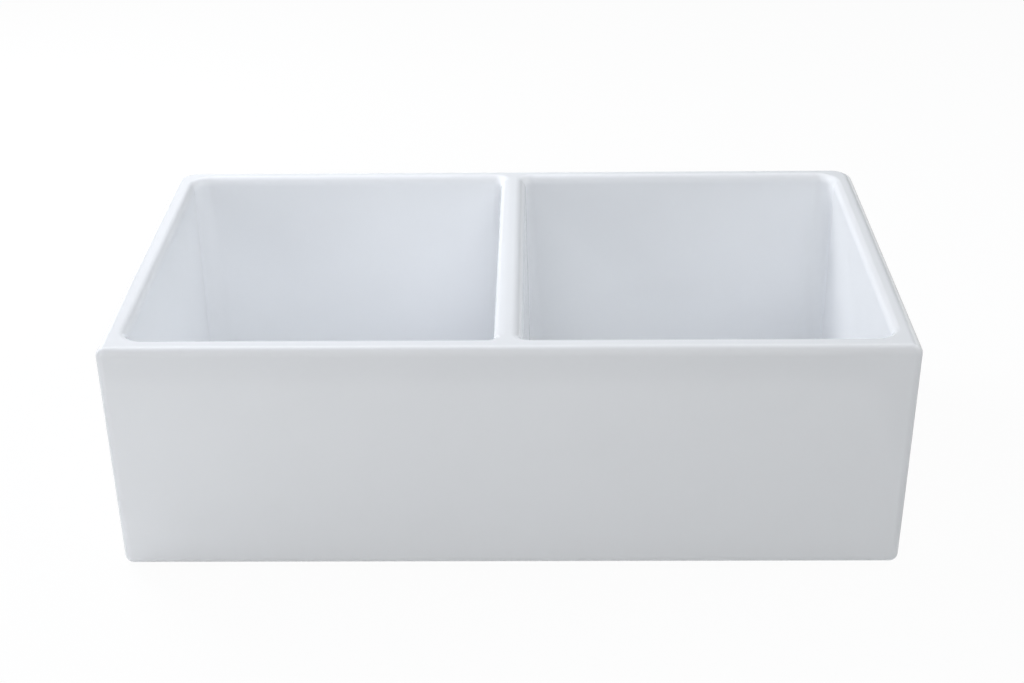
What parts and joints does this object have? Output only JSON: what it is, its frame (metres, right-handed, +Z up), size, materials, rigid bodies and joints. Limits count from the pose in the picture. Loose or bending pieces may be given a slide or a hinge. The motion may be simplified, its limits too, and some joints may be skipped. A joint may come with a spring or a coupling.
{
  "type": "farmhouse apron front sink",
  "caption": "Deep double-bowl fireclay kitchen sink with a plain apron front, level divider and a lift-out basket strainer waste under each bowl.",
  "frame": {"origin": "middle of the flat base, at the face that rests on the cabinet's supports", "axes": "+Z up out of the bowls, -Y out of the apron towards the user, +X along the sink to the right as seen from the apron"},
  "size_m": [0.838, 0.508, 0.4157],
  "materials": {
    "glazed_fireclay": "glossy white glaze over cast fireclay, bare clay on the base",
    "strainer_steel": "drawn stainless steel, flange turned and polished",
    "basket_steel": "pressed stainless steel sheet, satin",
    "post_chrome": "polished chrome",
    "washer_steel": "stamped stainless steel",
    "black_rubber": "matt black rubber",
    "flange_seal": "closed-cell foam bed",
    "friction_fibre": "pressed fibre, matt",
    "cast_zinc": "die-cast zinc, satin",
    "nylon": "moulded nylon",
    "tube_chrome": "chromed brass"
  },
  "bodies": {
    "sink": {"sink_body": "glazed_fireclay", "left_strainer_body": "strainer_steel", "left_flange_seal": "flange_seal", "left_rubber_gasket": "black_rubber", "left_friction_ring": "friction_fibre", "left_lock_nut": "cast_zinc", "left_tailpiece_washer": "nylon", "left_tailpiece": "tube_chrome", "left_coupling_nut": "tube_chrome", "right_strainer_body": "strainer_steel", "right_flange_seal": "flange_seal", "right_rubber_gasket": "black_rubber", "right_friction_ring": "friction_fibre", "right_lock_nut": "cast_zinc", "right_tailpiece_washer": "nylon", "right_tailpiece": "tube_chrome", "right_coupling_nut": "tube_chrome"},
    "left_basket": {"left_basket": "basket_steel", "left_basket_post": "post_chrome", "left_stopper": "black_rubber", "left_stopper_washer": "washer_steel"},
    "right_basket": {"right_basket": "basket_steel", "right_basket_post": "post_chrome", "right_stopper": "black_rubber", "right_stopper_washer": "washer_steel"}
  },
  "joints": [
    {"name": "left_basket_lift", "type": "slide", "parent": "sink", "child": "left_basket", "axis": [0, 0, 1], "range_m": [0, 0.3]},
    {"name": "right_basket_lift", "type": "slide", "parent": "sink", "child": "right_basket", "axis": [0, 0, 1], "range_m": [0, 0.3]}
  ]
}
